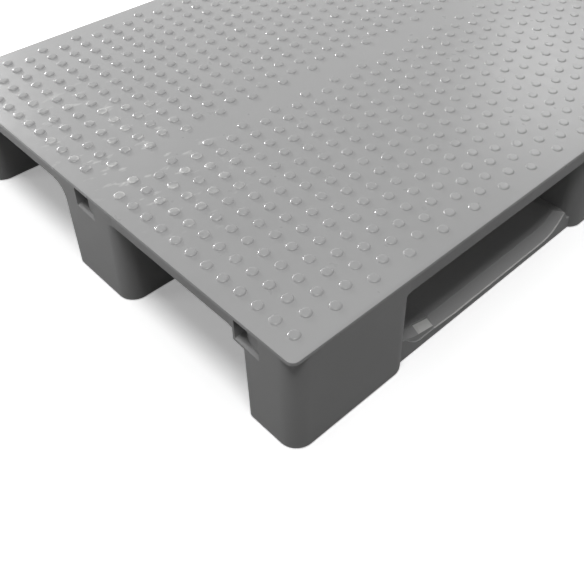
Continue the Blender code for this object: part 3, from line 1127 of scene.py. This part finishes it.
@dataclass(frozen=True)
class Runner:
    """One runner: shoes inside the feet and low bars between them.

    Attributes:
        mould: Shared sizes.
        name: Which lane it runs along.
        setback: How far the bar's face stands behind the feet.
        bar_height: Height of the bar's flat top.
        lip_height: Height of its upright outer face.
        end_lip_height: Height of that face where the bar enters a foot.
        lip_land: Width of the narrow level edge on top of that face.
        ramp_run: Width of the slope behind it.
        edge_share: How far up the slope a pad's outer edge lies.
        pad_start: Distance of the pad from a corner foot.
        pad_end: Where the pad ends in a crisp step.
        pad_start_heights: Height of lip, edge, shoulder and top at the pad's start.
        pad_end_heights: The same at its end.
        fall_power: How quickly the fall from the corner foot to the pad flattens out.
        fall_steps: Spans in that fall.
        fade_end: Distance from a corner foot at which the bar has its plain section.
        rise_run: Length of the rise beside a middle foot.
        rise_power: How quickly that rise steepens.
        outer_land: Distance of the lip's crest from a middle foot.
        inner_land: The same for the top.
        crest_width: Width of the crest.
        end_dip: Share of the rise that is lost again between the crest and the foot.
        rise_steps: Spans in that rise.
        edge_radius: Radius of the bar's long edges.
        bar_reach: How far a bar runs on into its feet, in thicknesses of their walls.
        shoe_steps: Spans in each corner of a shoe.
    """

    mould: Mould
    name: str
    setback: float = 0.0095
    bar_height: float = 0.0255
    lip_height: float = 0.0098
    end_lip_height: float = 0.0375
    lip_land: float = 0.0022
    ramp_run: float = 0.0122
    edge_share: float = 0.08
    pad_start: float = 0.0305
    pad_end: float = 0.0600
    pad_start_heights: tuple[float, ...] = (0.0130, 0.0220, 0.0295, 0.0330)
    pad_end_heights: tuple[float, ...] = (0.0130, 0.0158, 0.0210, 0.0258)
    fall_power: float = 1.6
    fall_steps: int = 4
    fade_end: float = 0.105
    rise_run: float = 0.060
    rise_power: float = 3.0
    outer_land: float = 0.0105
    inner_land: float = 0.0225
    crest_width: float = 0.0014
    end_dip: float = 0.6
    rise_steps: int = 24
    edge_radius: float = 0.0005
    bar_reach: float = 2.5
    shoe_steps: int = 6

    def on_ramp(self, lip: float, top: float) -> float:
        """Height of the pad's edge where it lies in the ramp itself."""
        return lip + self.edge_share * (top - lip)

    def plain(self, outer: float, inner: float, lift: float) -> BarStation:
        """A station whose ramp is unbroken.

        Args:
            outer: Distance of the lip from the foot.
            inner: Distance of the top from the foot.
            lift: Nought along the middle of the bar and one where it enters a foot.

        Returns:
            The station.
        """
        lip = self.lip_height + (self.end_lip_height - self.lip_height) * lift
        top = self.bar_height + (self.mould.shoe_height - self.bar_height) * lift
        return BarStation(outer, inner, lip, self.on_ramp(lip, top), top, top)

    def middle_end(self) -> list[BarStation]:
        """Stations beside a middle foot: up to a narrow crest, then down as a power of the run that is left.

        Returns:
            The stations from the foot outwards.
        """
        share = np.linspace(0.0, 1.0, self.rise_steps + 1)
        lift = (1 - share) ** self.rise_power
        outer = self.outer_land + share * self.rise_run
        inner = self.inner_land + share * (self.rise_run + self.outer_land - self.inner_land)
        start = self.plain(0.0, 0.0, 1.0 - self.end_dip)
        crest = self.plain(self.outer_land - self.crest_width, self.inner_land - self.crest_width, 1.0)
        return [start, crest, *(self.plain(*row) for row in zip(outer, inner, lift))]

    def corner_end(self) -> list[BarStation]:
        """Stations beside a corner foot: a steep fall to a small leaning pad, which ends in a crisp step.

        Returns:
            The stations from the foot outwards.
        """
        lip, shoe, start = self.end_lip_height, self.mould.shoe_height, np.array(self.pad_start_heights)
        stations = [self.plain(0.0, 0.0, 1.0)]
        for share in np.linspace(0.0, 1.0, self.fall_steps + 1)[1:]:
            distance = self.pad_start * share
            heights = start + (np.array([lip, lip, shoe, shoe]) - start) * (1 - share) ** self.fall_power
            stations.append(BarStation(distance, distance, *heights))
        stations.append(BarStation(self.pad_end, self.pad_end, *self.pad_end_heights))
        after, low_lip = self.pad_end + self.edge_radius, self.pad_end_heights[0]
        edge = self.on_ramp(low_lip, self.bar_height)
        stations.append(BarStation(after, after, low_lip, edge, self.bar_height, self.bar_height))
        stations.append(self.plain(self.fade_end, self.fade_end, 0.0))
        return stations

    def rings(self, foot: float, away: float, stations: list[BarStation]) -> np.ndarray:
        """Sections of a bar at one of its ends.

        Args:
            foot: X of the foot's side.
            away: Direction from the foot into the bar, plus or minus one.
            stations: The stations from the foot outwards.

        Returns:
            Points of each ring, anticlockwise as seen from high X.
        """
        lane = self.mould.lanes[self.name]
        y0, y1 = lane[0] + self.setback, lane[1] - self.setback
        edge = self.lip_land + self.edge_share * self.ramp_run
        shoulder = self.lip_land + self.ramp_run
        inset = np.array([0.0, self.lip_land, edge, shoulder, shoulder + self.edge_radius / 2])
        y = np.concatenate([[y0, y1], y1 - inset, (y0 + inset)[::-1]])
        rows = []
        for station in stations:
            outer, inner = station.outer_distance, station.inner_distance
            side = np.array([outer, outer, outer, inner, inner])
            height = np.array([station.lip, station.lip, station.edge, station.shoulder, station.top])
            x = foot + away * np.concatenate([[outer, outer], side, side[::-1]])
            z = np.concatenate([[0.0, 0.0], height, height[::-1]])
            rows.append(np.stack([x, y, z], axis=-1))
        return np.array(rows)

    def bar(self, number: int, side: int, finish: bpy.types.Material) -> bpy.types.Object:
        """Join the rings of both ends of a bar, each carried on into its foot.

        The lip's level edge gets painted highlight from the pad to the crest. The pad gets more painted
        highlight, and the ramp at the crest a little less.

        Args:
            number: Which bar of the runner.
            side: Minus one for the bar at low X, plus one for the other.
            finish: The runner's material.

        Returns:
            The bar.
        """
        columns = self.mould.columns
        middle = columns["middle"][0] if side < 0 else columns["middle"][1]
        corner = columns["left"][1] if side < 0 else columns["right"][0]
        at_corner = self.rings(corner, -side, self.corner_end())
        at_middle = self.rings(middle, side, self.middle_end())
        inside = np.array([self.bar_reach * self.mould.foot_wall * side, 0.0, 0.0])
        rings = [at_corner[:1] + inside, at_corner, at_middle[::-1], at_middle[:1] - inside]
        points = np.concatenate(rings)
        count, size = points.shape[:2]
        wear_and_highlight = np.zeros((count - 1, size))
        # Strips of faces round the section that get painted highlight: the lip's two level edges, the two
        # pads, and all of both ramps.
        lands, pads, ramps = [2, 10], [4, 8], [3, 4, 8, 9]
        pad, crest = len(self.corner_end()) - 3, -3
        wear_and_highlight[pad + 1 : crest + 1, lands] = 1.0
        wear_and_highlight[pad, pads] = 1.6
        wear_and_highlight[crest, ramps] = 0.8
        points, wear_and_highlight = (points, wear_and_highlight) if side < 0 else (points[::-1], wear_and_highlight[::-1])
        faces = loft_faces(count, size)
        bar = make_piece(f"runner_{self.name}_bar_{number}", points.reshape(-1, 3), faces, finish, self.node)
        # The painted highlight of each face, in the attribute that the finish reads.
        highlight_faces = bar.data.attributes.new(WEAR_AND_HIGHLIGHT, "FLOAT", "FACE")
        highlight_faces.data.foreach_set("value", np.append(wear_and_highlight.ravel(), [0.0, 0.0]))
        bevel = bar.modifiers.new("soft_edges", "BEVEL")
        bevel.width = self.edge_radius
        bevel.segments = 2
        bevel.limit_method = "ANGLE"
        bevel.angle_limit = radians(25.0)
        bevel.harden_normals = True
        return bar

    @property
    def node(self) -> str:
        """The frame's node that this runner stands for."""
        return f"runner_{self.name}"

    def shoe(self, number: int, column: str, finish: bpy.types.Material) -> bpy.types.Object:
        """A low rounded block that fills a foot's open bottom.

        Args:
            number: Which shoe of the runner.
            column: Name of the foot's column.
            finish: The runner's material.

        Returns:
            The shoe.
        """
        mould = self.mould
        foot = Foot(mould, "", mould.foot_sides(column, self.name))
        inset = mould.foot_wall + foot.draft * foot.inner + mould.runner_gap
        outward = np.array([-1.0, 1.0, -1.0, 1.0])
        sides = np.array(foot.sides) - inset * outward
        normals, signs = corner_turn(self.shoe_steps)
        heights = np.repeat(np.array([0.0, mould.shoe_height - mould.runner_gap])[:, None], len(normals), 1)
        radius = np.tile(foot.radii(signs) - mould.foot_wall - mould.runner_gap, (2, 1))
        points = rounded_rings(np.stack([sides, sides]), radius, heights, normals, signs)
        faces = loft_faces(2, len(normals))
        return make_piece(f"runner_{self.name}_shoe_{number}", points, faces, finish, self.node)

    def build(self, finish: bpy.types.Material) -> None:
        """Make the runner's two bars and three shoes.

        Args:
            finish: The runner's material.
        """
        for number, side in enumerate((-1, 1), 1):
            self.bar(number, side, finish)
        for number, column in enumerate(self.mould.columns, 1):
            self.shoe(number, column, finish)


@dataclass(frozen=True)
class Deck:
    """The whole deck moulding.

    Attributes:
        mould: Shared sizes.
        bay_root: Radius of the hollow round on a foot's sides towards the other feet of its runner.
        field_root: The same on the sides towards the fields between the runners.
        recess_root: The same on the side of an end foot that holds its recess.
        side_recess_start: Distance from a corner foot's first side to its recess.
        centre_recess_start: The same for the foot between them.
    """

    mould: Mould
    bay_root: float = 0.011
    field_root: float = 0.013
    recess_root: float = 0.025
    side_recess_start: float = 0.055
    centre_recess_start: float = 0.053

    def feet(self, finish: bpy.types.Material) -> dict[str, bpy.types.Object]:
        """Make the nine feet.

        Args:
            finish: The deck's material.

        Returns:
            The feet by place.
        """
        made = {}
        for lane in self.mould.lanes:
            for column in self.mould.columns:
                low_y = self.recess_root if column == "right" else self.field_root
                high_y = self.recess_root if column == "left" else self.field_root
                name = f"{lane}_{column}"
                roots = (self.bay_root, self.bay_root, low_y, high_y)
                foot = Foot(self.mould, name, self.mould.foot_sides(column, lane), roots)
                made[name] = foot.build(finish)
        return made

    def build(self, finishes: dict[WearAndHighlight, bpy.types.Material]) -> None:
        """Make every part of the moulding.

        Args:
            finishes: The plastic, by how far it has been scraped, and the runners' plastic with painted
                highlights.
        """
        mould = self.mould
        finish = finishes[WearAndHighlight.CLEAN]
        DeckSheet(mould).build(finishes[WearAndHighlight.SMEARED])
        StudField(mould).build(finishes[WearAndHighlight.RUBBED])
        Skirt(mould).build(finish)
        RibGrid(mould).build(finish)
        feet = self.feet(finish)
        near, far = mould.x0 + mould.parting_step, mould.x1 - mould.parting_step
        lanes = mould.lanes
        side, centre = Recess(mould, self.side_recess_start), Recess(mould, self.centre_recess_start)
        side.cut(feet["front_left"], Vector((near, lanes["front"][0])), turned=False)
        centre.cut(feet["centre_left"], Vector((near, lanes["centre"][0])), turned=False)
        side.cut(feet["rear_right"], Vector((far, lanes["rear"][1])), turned=True)
        centre.cut(feet["centre_right"], Vector((far, lanes["centre"][1])), turned=True)


@dataclass(frozen=True)
class Studio:
    """The floor, the light and the camera.

    Attributes:
        azimuth: Compass direction of the view in degrees, zero along +Y.
        elevation: Degrees above the horizon.
        roll: Degrees that the camera leans.
        place: Where the camera stands.
        lens_mm: Focal length on a 36 mm sensor.
        shift: Sideways and upward shift of the frame, as shares of its width.
        ambient: Strength of the even light from all round.
        key_from: Direction of the high, distant light that reaches under the deck's front edges.
        key_spread: Its apparent width in degrees.
        key_strength: Its strength.
        lamps: Name, place, width and watts of each soft lamp.
        floor_half: Half the floor's width.
        floor_drop: How far it lies below the feet, so that no two faces share a plane.
    """

    azimuth: float = -44.93
    elevation: float = 39.05
    roll: float = 0.57
    place: tuple[float, float, float] = (-0.9631, -0.8198, 0.8210)
    lens_mm: float = 51.27
    shift: tuple[float, float] = (-0.0698, -0.1506)
    ambient: float = 0.15
    key_from: tuple[float, float, float] = (-0.16, -0.165, 0.973)
    key_spread: float = 18.0
    key_strength: float = 1.3
    lamps: tuple[tuple[str, tuple[float, float, float], float, float], ...] = (
        ("overhead", (0.0, 0.3, 3.3), 2.2, 19.0),
        ("left_fill", (-2.6, 1.4, 0.9), 1.0, 8.0),
        ("back_left", (-0.19, 3.46, 0.66), 0.30, 100.0),
        ("back_right", (3.1, 1.2, 2.2), 1.2, 12.0),
    )
    floor_half: float = 12.0
    floor_drop: float = 0.0002

    def floor(self) -> None:
        """A wide level board under the pallet."""
        half, z = self.floor_half, -self.floor_drop
        corners = [(-half, -half, z), (half, -half, z), (half, half, z), (-half, half, z)]
        mesh = bpy.data.meshes.new("floor")
        mesh.from_pydata(corners, [], [[0, 1, 2, 3]])
        mesh.materials.append(StudioFloor().build())
        board = add_object("floor", mesh)

    def world(self) -> None:
        """An even room, white where it is seen directly."""
        world = bpy.data.worlds.new("studio")
        bpy.context.scene.world = world
        tree = empty_tree(world)
        levels = {"To Min": self.ambient, "To Max": 1.0}
        strength = add_node(tree, "MapRange", values=levels, links={"Value": seen_directly(tree)})
        white = {"Color": (1.0, 1.0, 1.0, 1.0)}
        light = add_node(tree, "Background", values=white, links={"Strength": strength})
        add_node(tree, "OutputWorld", links={"Surface": light})

    def light(self, name: str, kind: str, place: tuple[float, float, float], **settings: object) -> None:
        """A light aimed at the pallet.

        Args:
            name: Its name.
            kind: Its Blender type.
            place: Where it hangs, which for the sun only says where it shines from.
            **settings: Its own settings, such as width and power.
        """
        data = bpy.data.lights.new(name, kind)
        for setting, value in settings.items():
            setattr(data, setting, value)
        lamp = add_object(name, data)
        lamp.location = place
        lamp.rotation_euler = (-Vector(place)).to_track_quat("-Z", "Y").to_euler()

    def camera(self) -> None:
        """Stand the camera in its place: turned to its azimuth, tilted to its elevation, then rolled."""
        data = bpy.data.cameras.new("camera")
        data.lens = self.lens_mm
        data.sensor_width = 36.0
        data.shift_x, data.shift_y = self.shift
        camera = add_object("camera", data)
        turned = Matrix.Rotation(radians(self.azimuth), 4, "Z")
        tilted = Matrix.Rotation(radians(90.0 - self.elevation), 4, "X")
        rolled = Matrix.Rotation(radians(self.roll), 4, "Z")
        camera.matrix_world = Matrix.Translation(self.place) @ turned @ tilted @ rolled
        bpy.context.scene.camera = camera

    def build(self) -> None:
        """Set up the whole studio."""
        self.camera()
        self.world()
        self.floor()
        self.light("key", "SUN", self.key_from, angle=radians(self.key_spread), energy=self.key_strength)
        for name, place, size, power in self.lamps:
            self.light(name, "AREA", place, shape="SQUARE", size=size, energy=power)
        bpy.context.scene.view_settings.view_transform = "Standard"


def corners(box: tuple[Vector, Vector]) -> list[list[float]]:
    """A box's lowest and highest corners as plain lists."""
    return [list(corner) for corner in box]


def main() -> None:
    """Build the studio and the pallet."""
    logging.basicConfig(level=logging.INFO, format="%(name)s: %(message)s")
    LOG.info("frame: %d nodes", len(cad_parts))
    low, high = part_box("deck")
    mould = Mould(low.x, high.x, low.y, high.y)
    Studio().build()
    finishes = {}
    for wear in WearAndHighlight:
        polish = POLISH if wear in SCRAPES else {}
        finishes[wear] = MouldedPolyethylene(f"moulded_polyethylene_{wear.value}", wear, **polish).build()
    Deck(mould).build(finishes)
    for name in mould.lanes:
        # The runners' finish paints highlights along the bars' edges and pads.
        Runner(mould, name).build(finishes[WearAndHighlight.PAINTED_HIGHLIGHT])


if __name__ == "__main__":
    main()
